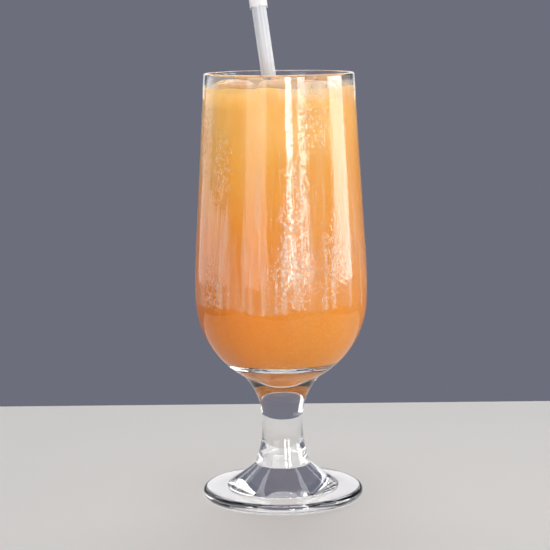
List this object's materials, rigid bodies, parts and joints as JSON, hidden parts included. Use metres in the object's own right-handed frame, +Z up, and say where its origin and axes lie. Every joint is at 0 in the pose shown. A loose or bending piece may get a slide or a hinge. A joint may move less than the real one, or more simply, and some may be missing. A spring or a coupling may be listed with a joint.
{
  "type": "glass of tamarind juice",
  "caption": "Footed beer-style glass filled almost to the rim with cloudy iced tamarind juice, with a straw that still wears its torn paper sleeve.",
  "frame": {"origin": "middle of the foot's underside, on the glass's own axis", "axes": "+Z up along the glass's axis, -Y towards the shown side, +X to its right"},
  "size_m": [0.075, 0.0843, 0.2662],
  "materials": {
    "glass": "clear smooth pressed glass, misted with fine condensation on the bowl",
    "juice": "cloudy orange-tan juice, wet and even, paler towards the top",
    "straw": "thin translucent white plastic with fine lengthwise ribs",
    "paper": "thin plain white paper, matte, torn at its lower end",
    "ice": "wet melting ice, cloudy inside",
    "water": "clear drops of condensed water"
  },
  "bodies": {
    "root": {"glass": "glass", "juice": "juice", "straw": "straw", "straw_sleeve": "paper"}
  },
  "joints": []
}
